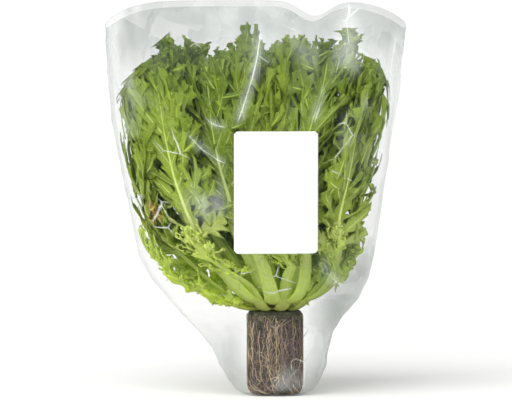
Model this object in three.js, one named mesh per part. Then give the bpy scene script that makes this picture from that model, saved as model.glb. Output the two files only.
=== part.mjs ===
// A living curly endive head as it is sold: frilled leaves in whorls round a short stem, the peat plug
// and root mat it grew in, and the clear film sleeve, with its plain label, that gathers it upright.
// Millimetres, +Z up. The origin is under the plug, where the sleeve's foot stands. -Y is the front.
import * as THREE from "three";

// Driving dimensions.
const PLUG_HALF_WIDTH = 23.5;
const FOOT_CLEARANCE = 1.3;
const ROOT_TOP = 58;
const PLUG_TOP = 72.5;
const STEM_CENTRE = 79;
const STEM_RADIUS = 15;
const HEAD_RADIUS = 102;
const HEAD_TOP = 338;
const OUTER_TOP = 312;
const GAP = 0.4;
const LEAN = 20;
const DEPTH_SHARE = 0.8;
const FILM = 0.8;
const LABEL_WIDTH = 70.5;
const LABEL_HEIGHT = 103;
const LABEL_CENTRE = { x: 0.5, z: 177.5 };
const LABEL_THICKNESS = 0.6;

// Leaf sections: the stalk's half width, its thickness at root and tip, and the blade's thickness.
const STALK_HALF_WIDTH = 4.1;
const RIB_AT_ROOT = 2.6;
const RIB_AT_TIP = 1.5;
const BLADE = 1.0;
const STALK_SHARE = 0.3;

// How far the side veins reach from the rib, from the foot of the blade to its tip, and their angle.
const REACH = [6, 17, 30, 43, 52, 48, 16];
const VEIN_ANGLE_LOW = 78;
const VEIN_ANGLE_HIGH = 25;
const SINUS_SHARE = 0.46;
const TIP_LENGTH = 22;
const TIP_HALF_WIDTH = 1.3;

// A leaf waves off its whorl's surface by this share of the gap to the next whorl, and no more than this.
const WAVE_SHARE = 0.42;
const WAVE_LIMIT = 7.5;

// Whorls from the outside in. Spread is 1 for the outermost full leaves and 0 at the heart.
const WHORLS = [
  { name: "skirt", count: 8, turn: 0.35, length: 0.92, size: 0.62, teeth: 5, columns: 4 },
  { name: "outer", count: 11, spread: 1, turn: 0.1, length: 0.97, size: 1, teeth: 7, columns: 4 },
  { name: "second", count: 9, spread: 0.8, turn: 0.42, length: 0.98, size: 1, teeth: 6, columns: 4 },
  { name: "third", count: 7, spread: 0.6, turn: 0.2, length: 0.97, size: 0.95, teeth: 5, columns: 4 },
  { name: "fourth", count: 5, spread: 0.42, turn: 0.6, length: 0.97, size: 0.9, teeth: 5, columns: 2 },
  { name: "inner", count: 4, spread: 0.27, turn: 0.05, length: 0.95, size: 0.8, teeth: 5, columns: 2 },
  { name: "heart", count: 2, spread: 0.13, turn: 0.3, length: 0.92, size: 0.6, teeth: 4, columns: 2 },
];

const COLOURS = {
  leaf: 0x8db645,
  stem: 0xc9d59a,
  peat: 0x3b3a2c,
  root: 0x85705a,
  film: 0xe8efec,
  label: 0xfbfbf8,
};
const FILM_OPACITY = 0.16;

const mix = (from, to, share) => from + (to - from) * share;
const radians = (degrees) => (degrees * Math.PI) / 180;

function smooth(value, low, high) {
  const share = Math.min(1, Math.max(0, (value - low) / (high - low)));
  return share * share * (3 - 2 * share);
}

// A repeatable draw between 0 and 1.
function draw(seed) {
  const wave = Math.sin(seed * 12.9898 + 78.233) * 43758.5453;
  return wave - Math.floor(wave);
}

function table(values, share) {
  const place = Math.min(0.9999, Math.max(0, share)) * (values.length - 1);
  const step = Math.floor(place);
  return mix(values[step], values[step + 1], place - step);
}

// The gathered head leans to its left and is flatter from front to back than it is wide.
const lean = (z) => -LEAN * smooth(z, STEM_CENTRE, 170);
const depth = (z) => mix(1, DEPTH_SHARE, smooth(z, STEM_CENTRE, 120));

function material(name, roughness, opacity = 1) {
  const transparent = opacity < 1;
  const color = COLOURS[name];
  return new THREE.MeshStandardMaterial({ color, roughness, metalness: 0, opacity, transparent });
}

// A closed mesh from a list of points and a list of triangles.
function solid(points, faces) {
  const geometry = new THREE.BufferGeometry();
  geometry.setAttribute("position", new THREE.Float32BufferAttribute(points.flat(), 3));
  geometry.setIndex(faces.flat());
  geometry.computeVertexNormals();
  return geometry;
}

function piece(name, geometry, finish) {
  const mesh = new THREE.Mesh(geometry, finish);
  mesh.name = name;
  return mesh;
}

// The curve that a whorl's ribs follow from the stem to their tips, as radius and height.
function ribCurve(whorl) {
  if (whorl.name === "skirt")
    return new THREE.CubicBezierCurve(
      new THREE.Vector2(STEM_RADIUS + GAP, STEM_CENTRE - 2),
      new THREE.Vector2(45, 73),
      new THREE.Vector2(74, 84),
      new THREE.Vector2(95, 150),
    );
  const s = whorl.spread;
  const rise = radians(86 * s);
  const root = new THREE.Vector2(Math.sin(rise), Math.cos(rise)).multiplyScalar(STEM_RADIUS + mix(1, GAP, s));
  root.y += STEM_CENTRE;
  const leave = radians(92 * s);
  const away = new THREE.Vector2(Math.sin(leave), Math.cos(leave)).multiplyScalar(38 + 4 * s);
  return new THREE.CubicBezierCurve(
    root,
    root.clone().add(away),
    new THREE.Vector2(mix(5, HEAD_RADIUS, s), mix(205, 134, s)),
    new THREE.Vector2(mix(7, HEAD_RADIUS, s), mix(HEAD_TOP, OUTER_TOP, s)),
  );
}

// Evenly readable samples of a rib curve, with the normal that points away from the head's middle.
function ribPath(whorl) {
  const points = ribCurve(whorl).getPoints(120);
  const reached = [0];
  for (let i = 1; i < points.length; i++) reached.push(reached[i - 1] + points[i].distanceTo(points[i - 1]));
  const length = reached[reached.length - 1];
  function at(along) {
    let i = 1;
    while (i < points.length - 1 && reached[i] < along) i++;
    const a = points[i - 1];
    const b = points[i];
    const share = (along - reached[i - 1]) / (reached[i] - reached[i - 1]);
    const run = b.clone().sub(a).normalize();
    return { r: mix(a.x, b.x, share), z: mix(a.y, b.y, share), outR: run.y, outZ: -run.x };
  }
  return { points, length, at };
}

const paths = WHORLS.map(ribPath);

// How far a leaf may wave off its own whorl's surface before it would meet the next whorl.
function roomBeside(whorlIndex, place) {
  let nearest = HEAD_RADIUS;
  for (const other of [whorlIndex - 1, whorlIndex + 1]) {
    if (!paths[other]) continue;
    for (const p of paths[other].points) {
      nearest = Math.min(nearest, Math.hypot(p.x - place.r, p.y - place.z));
    }
  }
  return Math.max(0, Math.min(WAVE_LIMIT, WAVE_SHARE * nearest - 0.5 * BLADE));
}

// One leaf: a thick rib, side veins that fan forward, and an edge cut into pointed teeth.
function leafGeometry(whorlIndex, leafIndex) {
  const whorl = WHORLS[whorlIndex];
  const path = paths[whorlIndex];
  const seed = whorlIndex * 40 + leafIndex + 1;
  const sector = (2 * Math.PI) / whorl.count;
  const azimuth = sector * (leafIndex + whorl.turn + 0.1 * (draw(seed) - 0.5));
  const halfSector = 0.44 * sector;
  const ribLength = path.length * whorl.length * (0.94 + 0.07 * draw(seed + 0.3)) - TIP_LENGTH;
  const columns = whorl.columns;
  const rows = leafRows(whorl, ribLength, seed);
  const outer = [];
  const inner = [];
  for (const row of rows) {
    for (let c = 0; c <= columns; c++) {
      const v = (2 * c) / columns - 1;
      const side = Math.abs(v);
      const reach = side === 1 ? row.edge : 0.5 * mix(row.edge, row.full, 0.5);
      const distance = side === 0 ? 0 : reach;
      const along = row.along + distance * Math.cos(row.angle);
      const across = Math.sign(v) * distance * Math.sin(row.angle);
      const place = path.at(along);
      const turn = halfSector * Math.tanh(across / Math.max(place.r, 3) / halfSector);
      const wave = row.wave * side * side * (v < 0 ? 1 : -0.8) + row.cup * side;
      const lift = roomBeside(whorlIndex, place) * Math.max(-1, Math.min(1, wave));
      const rib = mix(RIB_AT_ROOT, RIB_AT_TIP, row.along / ribLength);
      const half = 0.5 * mix(rib, BLADE, Math.min(1, 1.6 * side));
      for (const [shell, offset] of [[outer, lift + half], [inner, lift - half]]) {
        const radius = place.r + offset * place.outR;
        const z = place.z + offset * place.outZ;
        const angle = azimuth + turn;
        shell.push([radius * Math.cos(angle) + lean(z), radius * Math.sin(angle) * depth(z), z]);
      }
    }
  }
  return sheetSolid(outer, inner, rows.length, columns);
}

// The rows of a leaf, each a pair of side veins: where it leaves the rib, its angle and its reach.
function leafRows(whorl, ribLength, seed) {
  const rows = [];
  const right = Math.PI / 2;
  for (const share of [0, 0.33, 0.72]) {
    const along = share * STALK_SHARE * ribLength;
    rows.push({ along, angle: right, edge: STALK_HALF_WIDTH, full: STALK_HALF_WIDTH, wave: 0, cup: 0 });
  }
  const steps = 2 * whorl.teeth;
  for (let k = 0; k < steps; k++) {
    const share = k / (steps - 0.4);
    const full = Math.max(STALK_HALF_WIDTH, whorl.size * table(REACH, share));
    const uneven = 0.18 * (draw(seed + k) - 0.5);
    const tooth = k % 2 === 1 ? 1 + uneven : SINUS_SHARE + uneven;
    rows.push({
      along: mix(STALK_SHARE, 1, share) * ribLength,
      angle: radians(mix(VEIN_ANGLE_LOW, VEIN_ANGLE_HIGH, share)),
      edge: Math.max(STALK_HALF_WIDTH, full * tooth),
      full,
      wave: Math.sin((k * Math.PI) / 2 + seed) * smooth(share, 0, 0.3),
      cup: 0.35 * (draw(seed + 0.7) - 0.5),
    });
  }
  const tip = ribLength + TIP_LENGTH * whorl.size;
  rows.push({ along: tip, angle: right, edge: TIP_HALF_WIDTH, full: TIP_HALF_WIDTH, wave: 0, cup: 0 });
  return rows;
}

// Closes two matching grids of points, an outer and an inner face, with a rim all round.
function sheetSolid(outer, inner, rowCount, columns) {
  const across = columns + 1;
  const shift = outer.length;
  const faces = [];
  const rim = [];
  for (let r = 0; r < rowCount - 1; r++)
    for (let c = 0; c < columns; c++) {
      const a = r * across + c;
      const b = a + 1;
      const d = a + across;
      const e = d + 1;
      for (const [p, q, s] of [[a, b, e], [a, e, d]]) {
        faces.push([p, q, s], [p + shift, s + shift, q + shift]);
      }
    }
  for (let c = 0; c < columns; c++) rim.push([c, c + 1]);
  for (let r = 0; r < rowCount - 1; r++) rim.push([r * across + columns, (r + 1) * across + columns]);
  const lastRow = (rowCount - 1) * across;
  for (let c = columns; c > 0; c--) rim.push([lastRow + c, lastRow + c - 1]);
  for (let r = rowCount - 1; r > 0; r--) rim.push([r * across, (r - 1) * across]);
  for (const [p, q] of rim) faces.push([q, p, p + shift], [q, p + shift, q + shift]);
  return solid([...outer, ...inner], faces);
}

// A closed solid from stacked rings of points, with a fan over each end.
function ringSolid(rings) {
  const sides = rings[0].length;
  const points = rings.flat();
  const faces = [];
  for (let r = 0; r < rings.length - 1; r++)
    for (let i = 0; i < sides; i++) {
      const a = r * sides + i;
      const b = r * sides + ((i + 1) % sides);
      faces.push([a, b, b + sides], [a, b + sides, a + sides]);
    }
  const last = (rings.length - 1) * sides;
  for (let i = 1; i < sides - 1; i++) faces.push([0, i + 1, i], [last, last + i, last + i + 1]);
  return solid(points, faces);
}

// A point of a rounded square: a higher power makes its corners squarer.
function squareRound(angle, halfWidth, halfDepth, power) {
  const c = Math.cos(angle);
  const s = Math.sin(angle);
  const bend = 2 / power;
  return [halfWidth * Math.sign(c) * Math.abs(c) ** bend, halfDepth * Math.sign(s) * Math.abs(s) ** bend];
}

// The short stem: a rounded knob that stands on the peat and carries every leaf.
function stemGeometry() {
  const profile = [new THREE.Vector2(0, PLUG_TOP + GAP), new THREE.Vector2(STEM_RADIUS - 2, PLUG_TOP + GAP)];
  for (let step = 0; step <= 6; step++) {
    const rise = mix(-0.25, Math.PI / 2, step / 6);
    profile.push(new THREE.Vector2(STEM_RADIUS * Math.cos(rise), STEM_CENTRE + STEM_RADIUS * Math.sin(rise)));
  }
  profile[profile.length - 1].x = 0;
  return new THREE.LatheGeometry(profile, 20).rotateX(Math.PI / 2);
}

// Levels of the peat and of the root mat: height, and the share of the plug's full half width.
const PEAT_LEVELS = [
  [ROOT_TOP + GAP, 0.97],
  [63, 1.01],
  [69, 1],
  [71.5, 0.95],
  [PLUG_TOP, 0.87],
];
const ROOT_LEVELS = [
  [FOOT_CLEARANCE, 0.76],
  [2.6, 0.88],
  [5.5, 0.95],
  [10, 0.99],
  [18, 1],
  [26, 1.01],
  [34, 1.01],
  [42, 1],
  [50, 1],
  [56, 0.99],
  [ROOT_TOP, 0.96],
];

// The peat plug's dark top, which stands out of the root mat.
function peatGeometry() {
  const rings = [];
  for (const [z, share] of PEAT_LEVELS) {
    const ring = [];
    for (let i = 0; i < 32; i++) {
      const rough = z === PLUG_TOP || z === ROOT_TOP + GAP ? 0 : 0.7 * (draw(i + 7 * z) - 0.5);
      const [x, y] = squareRound((i * Math.PI) / 16, PLUG_HALF_WIDTH + rough, PLUG_HALF_WIDTH + rough, 4);
      ring.push([x * share, y * share, z]);
    }
    rings.push(ring);
  }
  return ringSolid(rings);
}

// The root mat: a square-shouldered block, ridged by the roots that run down it and curl under.
function rootGeometry() {
  const sides = 44;
  const rings = [];
  ROOT_LEVELS.forEach(([z, share], level) => {
    const end = level === 0 || level === ROOT_LEVELS.length - 1;
    const ring = [];
    for (let i = 0; i < sides; i++) {
      const angle = (i * 2 * Math.PI) / sides;
      const ridge = end ? 0 : 0.55 * (i % 2 ? 1 : -1) * Math.sin(z / 9 + i) + 0.6 * (draw(i * 3 + z) - 0.5);
      const [x, y] = squareRound(angle, PLUG_HALF_WIDTH + ridge, PLUG_HALF_WIDTH + ridge, 4);
      ring.push([x * share, y * share, z]);
    }
    rings.push(ring);
  });
  return ringSolid(rings);
}

// The sleeve's stations: height, half width, half depth and how far its middle stands off the axis.
const SLEEVE = [
  { z: 0, wide: 25, deep: 21, middle: 0 },
  { z: 4, wide: 33, deep: 25.5, middle: 0 },
  { z: 13, wide: 39.5, deep: 28, middle: -0.5 },
  { z: 25, wide: 45, deep: 29, middle: -2 },
  { z: 40, wide: 50, deep: 30.5, middle: -4 },
  { z: 55, wide: 58, deep: 35, middle: -8 },
  { z: 68, wide: 69, deep: 44, middle: -10 },
  { z: 83, wide: 82, deep: 60, middle: -10 },
  { z: 100, wide: 93, deep: 76, middle: -13 },
  { z: 119, wide: 101, deep: 86, middle: -16 },
  { z: 177, wide: 111, deep: 91, middle: -17.5 },
  { z: 235, wide: 121, deep: 96, middle: -19 },
  { z: 275, wide: 125, deep: 97, middle: -18.5 },
  { z: 320, wide: 129, deep: 92, middle: -17 },
];
const SLEEVE_POWER = 2.3;
const SLEEVE_SIDES = 36;
const SEAM = 4;
const WELD_DROP = 5;
const ON_WELD = 1e-3;

// The mouth's edge: the back sheet stands taller and has a dip, the front one is lower.
function mouthHeight(x, back) {
  const corner = 22 * Math.abs((x + 17) / 131) ** 6;
  if (back) return 336 - corner - 13 * Math.exp(-(((x - 33) / 17) ** 2));
  return 326 - corner + 3 * Math.sin(x / 27);
}

// The edge's height at any point of the mouth. Where the two sheets meet it drops a little, at the welds.
function mouthEdge(x, y) {
  if (Math.abs(y) < ON_WELD) return mouthHeight(x, true) - WELD_DROP;
  return mouthHeight(x, y > 0);
}

function sleeveRing(station, wall, height) {
  const ring = [];
  for (let i = 0; i < SLEEVE_SIDES; i++) {
    const angle = (i * 2 * Math.PI) / SLEEVE_SIDES;
    const [x, y] = squareRound(angle, station.wide - wall, station.deep - wall, SLEEVE_POWER);
    const seam = wall === 0 && Math.abs(y) < ON_WELD ? SEAM * smooth(station.z, 4, 25) * Math.sign(x) : 0;
    const place = x + station.middle + seam;
    ring.push([place, y, height(x + station.middle, y)]);
  }
  return ring;
}

// The film sleeve: a pouch with a flat foot, welded sides and a wavy open mouth.
function sleeveGeometry() {
  const top = SLEEVE.length - 1;
  const skin = (wall) =>
    SLEEVE.map((station, i) => {
      const flat = () => (i === 0 && wall > 0 ? FILM : station.z);
      return sleeveRing(station, wall, i === top ? mouthEdge : flat);
    });
  const outer = skin(0);
  const inner = skin(FILM);
  return ringSolid([...outer, ...inner.reverse()]);
}

function sleeveAt(z) {
  let i = 1;
  while (i < SLEEVE.length - 1 && SLEEVE[i].z < z) i++;
  const [low, high] = [SLEEVE[i - 1], SLEEVE[i]];
  const share = (z - low.z) / (high.z - low.z);
  const wide = mix(low.wide, high.wide, share);
  return { wide, deep: mix(low.deep, high.deep, share), middle: mix(low.middle, high.middle, share) };
}

// The label: a thin rounded rectangle that lies on the front of the sleeve.
function labelGeometry() {
  const outer = [];
  const inner = [];
  const rows = 8;
  const columns = 6;
  const cornerCut = 3;
  for (let r = 0; r <= rows; r++)
    for (let c = 0; c <= columns; c++) {
      const z = LABEL_CENTRE.z + LABEL_HEIGHT * (r / rows - 0.5);
      const corner = r === 0 || r === rows ? cornerCut : 0;
      const x = LABEL_CENTRE.x + (LABEL_WIDTH - corner) * (c / columns - 0.5);
      const film = sleeveAt(z);
      const share = Math.abs((x - film.middle) / film.wide) ** SLEEVE_POWER;
      const y = -film.deep * (1 - share) ** (1 / SLEEVE_POWER) - GAP;
      outer.push([x, y - LABEL_THICKNESS, z]);
      inner.push([x, y, z]);
    }
  return sheetSolid(outer, inner, rows + 1, columns);
}

const head = new THREE.Group();
const leafFinish = material("leaf", 0.5);
WHORLS.forEach((whorl, w) => {
  for (let i = 0; i < whorl.count; i++) {
    head.add(piece(`leaf_${whorl.name}_${i + 1}`, leafGeometry(w, i), leafFinish));
  }
});
head.add(piece("stem", stemGeometry(), material("stem", 0.5)));
head.add(piece("peat_plug", peatGeometry(), material("peat", 0.95)));
head.add(piece("root_mat", rootGeometry(), material("root", 0.9)));
head.add(piece("film_sleeve", sleeveGeometry(), material("film", 0.15, FILM_OPACITY)));
head.add(piece("label", labelGeometry(), material("label", 0.45)));

export default head;
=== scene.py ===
# %% [markdown]
# # A curly endive head in its clear sleeve
# This lesson dresses a plain model of a living salad head: frilled leaves round a short stem, the peat plug
# and roots that it grew in, a clear film sleeve and a blank label. The plain model gives every piece its
# place, so the first step loads it, and each new piece then stands where the plain one did.

# %% The frame
import math
import random

import bpy
import numpy as np
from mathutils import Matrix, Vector


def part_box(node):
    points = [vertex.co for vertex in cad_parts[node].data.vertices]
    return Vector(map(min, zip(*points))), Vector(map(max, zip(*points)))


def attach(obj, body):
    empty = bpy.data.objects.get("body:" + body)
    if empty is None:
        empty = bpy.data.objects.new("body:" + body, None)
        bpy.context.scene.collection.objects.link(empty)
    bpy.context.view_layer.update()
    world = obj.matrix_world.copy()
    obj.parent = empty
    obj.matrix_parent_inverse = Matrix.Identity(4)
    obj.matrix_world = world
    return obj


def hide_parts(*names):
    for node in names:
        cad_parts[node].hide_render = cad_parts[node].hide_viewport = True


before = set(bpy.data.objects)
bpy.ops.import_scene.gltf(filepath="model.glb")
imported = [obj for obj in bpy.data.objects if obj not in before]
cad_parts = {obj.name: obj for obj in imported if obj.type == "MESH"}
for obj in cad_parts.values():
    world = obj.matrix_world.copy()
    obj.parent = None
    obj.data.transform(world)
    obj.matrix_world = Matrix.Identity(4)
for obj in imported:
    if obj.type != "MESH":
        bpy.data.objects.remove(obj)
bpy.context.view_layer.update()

MM = 0.001

# %% [markdown]
# ## The camera
# The camera stands in front and looks down by 2.5 degrees, so the sleeve's mouth shows as a thin band. One
# pixel is 0.86 mm at the head's middle, so the distance follows from the lens, and a long lens keeps the
# sides parallel.

# %% The camera
PICTURE_WIDTH = 512
PIXEL = 0.86 * MM
LENS = 300
SENSOR = 36
CAMERA_RISE = math.radians(2.5)
AIM = (-0.0163, 0.0, 0.1675)


def deselect():
    if bpy.context.mode != "OBJECT":
        bpy.ops.object.mode_set(mode="OBJECT")
    bpy.ops.object.select_all(action="DESELECT")


def make_camera():
    reach = PICTURE_WIDTH * PIXEL * LENS / SENSOR
    place = (AIM[0], AIM[1] - reach * math.cos(CAMERA_RISE), AIM[2] + reach * math.sin(CAMERA_RISE))
    deselect()
    bpy.ops.object.camera_add(location=place, rotation=(math.pi / 2 - CAMERA_RISE, 0, 0))
    camera = bpy.context.object
    camera.data.lens = LENS
    camera.data.sensor_width = SENSOR
    bpy.context.scene.camera = camera
    print("camera stands", round(reach, 3), "m away")


make_camera()

# %% [markdown]
# ## Sums in a material
# Materials here are worked out by nodes. Writing each sum as a chain of Math nodes is slow to read, so this
# small class wraps a socket: adding or multiplying two of them adds the node. Colours can't go through a
# Math node, which would turn them grey, so they have a mixing method of their own.

# %% Sockets that can be added and multiplied


class Value:
    """A number that varies over a surface, held by a socket."""

    def __init__(self, finish, socket):
        self.finish = finish
        self.socket = socket

    def sum_of(self, operation, first, second=None):
        node = self.finish.node("ShaderNodeMath", {"operation": operation}, {0: first, 1: second})
        return Value(self.finish, node.outputs[0])

    def __add__(self, other):
        return self.sum_of("ADD", self, other)

    def __radd__(self, other):
        return self.sum_of("ADD", other, self)

    def __sub__(self, other):
        return self.sum_of("SUBTRACT", self, other)

    def __rsub__(self, other):
        return self.sum_of("SUBTRACT", other, self)

    def __mul__(self, other):
        return self.sum_of("MULTIPLY", self, other)

    def __rmul__(self, other):
        return self.sum_of("MULTIPLY", other, self)

    def part(self):
        return self.sum_of("FRACT", self)

    def size(self):
        return self.sum_of("ABSOLUTE", self)

    def top(self, other):
        return self.sum_of("MAXIMUM", self, other)

    def step(self, low, high):
        """0 below low and 1 above high, with a smooth slope between them. Low may be the larger."""
        settings = {"interpolation_type": "SMOOTHSTEP"}
        node = self.finish.node("ShaderNodeMapRange", settings, {0: self, 1: low, 2: high, 3: 0.0, 4: 1.0})
        return Value(self.finish, node.outputs[0])


class Finish:
    """A material and the nodes that make it."""

    def __init__(self, name):
        self.material = bpy.data.materials.new(name)
        self.material.use_nodes = True
        self.tree = self.material.node_tree
        self.tree.nodes.clear()

    def node(self, kind, settings=None, inputs=None):
        """A node. Each of its inputs is a number, a Value, a socket or a colour's code."""
        made = self.tree.nodes.new(kind)
        for name, value in (settings or {}).items():
            setattr(made, name, value)
        for key, value in (inputs or {}).items():
            if value is None:
                continue
            if isinstance(value, str):
                value = paint(value)
            if isinstance(value, Value):
                value = value.socket
            if isinstance(value, bpy.types.NodeSocket):
                self.tree.links.new(value, made.inputs[key])
            else:
                made.inputs[key].default_value = value
        return made

    def place(self):
        return self.node("ShaderNodeTexCoord").outputs["Object"]

    def split(self, vector):
        """The three numbers of a vector or a colour."""
        parts = self.node("ShaderNodeSeparateXYZ", None, {0: vector})
        return [Value(self, parts.outputs[i]) for i in range(3)]

    def height(self):
        return self.split(self.place())[2]

    def noise(self, scale, detail=3.0, where=None, rough=0.5):
        inputs = {"Vector": where or self.place(), "Scale": scale, "Detail": detail, "Roughness": rough}
        return Value(self, self.node("ShaderNodeTexNoise", None, inputs).outputs["Fac"])

    def cells(self, scale):
        """How far a point is from the nearest edge of a cell pattern."""
        inputs = {"Vector": self.place(), "Scale": scale}
        node = self.node("ShaderNodeTexVoronoi", {"feature": "DISTANCE_TO_EDGE"}, inputs)
        return Value(self, node.outputs["Distance"])

    def patches(self, scale, warp):
        """A different number for each cell of a broken-up pattern, as on crumpled film."""
        inputs = {"Vector": self.place(), "Scale": scale, "Detail": 2.0}
        cloud = self.node("ShaderNodeTexNoise", None, inputs)
        inputs = {0: cloud.outputs["Color"], "Scale": warp}
        shift = self.node("ShaderNodeVectorMath", {"operation": "SCALE"}, inputs)
        inputs = {0: self.place(), 1: shift.outputs[0]}
        where = self.node("ShaderNodeVectorMath", {"operation": "ADD"}, inputs)
        node = self.node("ShaderNodeTexVoronoi", None, {"Vector": where.outputs[0], "Scale": scale})
        return self.split(node.outputs["Color"])[0]

    def stretched(self, scale):
        """The point's place, with its axes scaled, so that a pattern on it runs out long one way."""
        inputs = {"Vector": self.place(), "Scale": scale}
        return self.node("ShaderNodeMapping", None, inputs).outputs["Vector"]

    def three(self, attribute):
        """The three numbers that an attribute of the mesh carries at each point."""
        stored = self.node("ShaderNodeAttribute", {"attribute_name": attribute})
        return self.split(stored.outputs["Vector"])

    def blend(self, share, first, second):
        """Two colours, mixed by a share that may vary."""
        node = self.node("ShaderNodeMix", {"data_type": "RGBA"}, {0: share, 6: first, 7: second})
        return node.outputs[2]

    def bump(self, height, strength, distance):
        inputs = {"Height": height, "Strength": strength, "Distance": distance}
        return self.node("ShaderNodeBump", None, inputs).outputs["Normal"]

    def surface(self, inputs):
        return self.node("ShaderNodeBsdfPrincipled", None, inputs).outputs["BSDF"]

    def glow(self, code, normal):
        """Light that comes through a thin sheet, in one plain colour."""
        inputs = {"Color": code, "Normal": normal}
        return self.node("ShaderNodeBsdfTranslucent", None, inputs).outputs[0]

    def mixed(self, share, first, second):
        """Two shaders, mixed by a share that may vary."""
        return self.node("ShaderNodeMixShader", None, {0: share, 1: first, 2: second}).outputs[0]

    def done(self, shader):
        self.node("ShaderNodeOutputMaterial", None, {"Surface": shader})
        return self.material

    def matt(self, colour, rough, normal):
        """The finished material of a piece that lets no light through."""
        return self.done(self.surface({"Base Color": colour, "Roughness": rough, "Normal": normal}))


def paint(code):
    """A colour written as on a paint card, #RRGGBB, turned into the amounts of light that nodes use."""
    shares = [int(code[i : i + 2], 16) / 255 for i in (1, 3, 5)]
    light = [share / 12.92 if share <= 0.04045 else ((share + 0.055) / 1.055) ** 2.4 for share in shares]
    return (*light, 1.0)


# %% [markdown]
# ## Small helpers
# The leaves are laid out by a repeatable draw between 0 and 1, so the head is the same each time it is
# made. The other helpers blend numbers, and lay a flat grid of points wherever a formula says.

# %% Small helpers


def draw(seed):
    """A number between 0 and 1 that looks random but is always the same for one seed."""
    wave = math.sin(seed * 12.9898 + 78.233) * 43758.5453
    return wave - math.floor(wave)


def mix(low, high, share):
    return low + (high - low) * share


def smooth(value, low, high):
    """0 at low and 1 at high, with a soft slope between them. Low may be the larger."""
    share = np.clip((value - low) / (high - low), 0, 1)
    return share * share * (3 - 2 * share)


def table(values, share):
    """Reads a list of evenly spaced values at a share from 0 to 1."""
    place = np.clip(share, 0, 0.9999) * (len(values) - 1)
    return np.interp(place, np.arange(len(values)), values)


def grid_piece(name, columns, rows):
    """A flat grid primitive, and for each of its points the column and row that it is in."""
    deselect()
    bpy.ops.mesh.primitive_grid_add(x_subdivisions=columns, y_subdivisions=rows, size=1)
    piece = bpy.context.object
    piece.name = name
    flat = np.empty(len(piece.data.vertices) * 3)
    piece.data.vertices.foreach_get("co", flat)
    flat = flat.reshape(-1, 3)
    column = np.rint((flat[:, 0] + 0.5) * columns).astype(int)
    row = np.rint((flat[:, 1] + 0.5) * rows).astype(int)
    return piece, column, row


def lay(piece, points):
    """Moves every point of a mesh to a place in millimetres."""
    piece.data.vertices.foreach_set("co", (np.asarray(points) * MM).ravel())
    piece.data.update()


def note(piece, name, vectors):
    """Stores three numbers at each point of a mesh, for its material to read."""
    stored = piece.data.attributes.new(name, "FLOAT_VECTOR", "POINT")
    stored.data.foreach_set("vector", np.asarray(vectors, np.float32).ravel())


def pick(active, *others):
    """Selects some pieces and nothing else, and makes the first one active."""
    deselect()
    for piece in (active, *others):
        piece.select_set(True)
    bpy.context.view_layer.objects.active = active


def choose(piece, kind, chosen):
    """Selects some points or edges of a mesh, and stays in edit mode for the tool that comes next."""
    bpy.ops.object.mode_set(mode="EDIT")
    bpy.ops.mesh.select_mode(type=kind)
    bpy.ops.mesh.select_all(action="DESELECT")
    bpy.ops.object.mode_set(mode="OBJECT")
    parts = piece.data.edges if kind == "EDGE" else piece.data.vertices
    parts.foreach_set("select", chosen)
    bpy.ops.object.mode_set(mode="EDIT")


def thicken(piece, thickness, group=None):
    """Gives a sheet a thickness in millimetres. Points in a named group take their share of it."""
    solid = piece.modifiers.new("thickness", "SOLIDIFY")
    solid.thickness = thickness * MM
    solid.offset = 0
    if group:
        solid.vertex_group = group
    pick(piece)
    bpy.ops.object.modifier_apply(modifier=solid.name)


def settle(piece, material, slot, *nodes):
    """Gives a finished piece its material, its body and the plain pieces that it stands for."""
    piece.data.materials.clear()
    piece.data.materials.append(material)
    piece.data.shade_smooth()
    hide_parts(*nodes)
    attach(piece, "root")


# %% [markdown]
# ## The sleeve's outline
# The film is a pouch: narrow round the plug, wide round the leaves. Each station says how high it is, how
# far the film stands to the sides and to front and back, and where its middle is. The leaves need it too,
# since the film holds them in, so it comes before them.

# %% The sleeve's outline
# Height, half width, half depth and the middle's place across, in millimetres.
SLEEVE = np.array([
    (0, 25, 21, 0),
    (4, 33, 25.5, 0),
    (13, 39.5, 28, -0.5),
    (25, 45, 29, -2),
    (40, 50, 30.5, -4),
    (55, 58, 35, -8),
    (68, 69, 44, -10),
    (83, 82, 60, -10),
    (100, 93, 76, -13),
    (119, 101, 86, -16),
    (177, 111, 91, -17.5),
    (235, 121, 96, -19),
    (275, 125, 97, -18.5),
    (320, 129, 92, -17),
])

# The sleeve's rings are rounded squares of this power. Leaves inside the free share of it aren't pressed.
SLEEVE_POWER = 2.3
FREE_SHARE = 0.84


def sleeve_at(z):
    """The sleeve's half width, half depth and middle at a height."""
    return [np.interp(z, SLEEVE[:, 0], SLEEVE[:, i]) for i in (1, 2, 3)]


def held_in(points, clearance):
    """Presses points softly towards the middle where they would come near the film."""
    wide, deep, middle = sleeve_at(points[:, 2])
    x = points[:, 0] - middle
    y = points[:, 1]
    near = np.abs(x / (wide - clearance)) ** SLEEVE_POWER
    near += np.abs(y / (deep - clearance)) ** SLEEVE_POWER
    near = np.maximum(near ** (1 / SLEEVE_POWER), 1e-6)
    room = 1 - FREE_SHARE
    drawn_in = FREE_SHARE + room * np.tanh((near - FREE_SHARE) / room)
    pressed = np.where(near > FREE_SHARE, drawn_in, near) / near
    return np.column_stack([x * pressed + middle, y * pressed, points[:, 2]])


# %% [markdown]
# ## How a leaf is laid out
# Every leaf belongs to a whorl, a ring of leaves of one age. Its rib leaves the stem, swings out and turns
# up, and the younger whorls inside stand straighter. A leaf is a flat grid laid along that rib. Its rows
# are side veins that fan forward, and the edge is where the veins stop: far out at a tooth, close in at a
# gap between teeth. Laying a grid keeps the veins in the mesh, so relief and colour can follow them, which
# cutting an outline out of a flat sheet wouldn't.

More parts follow.
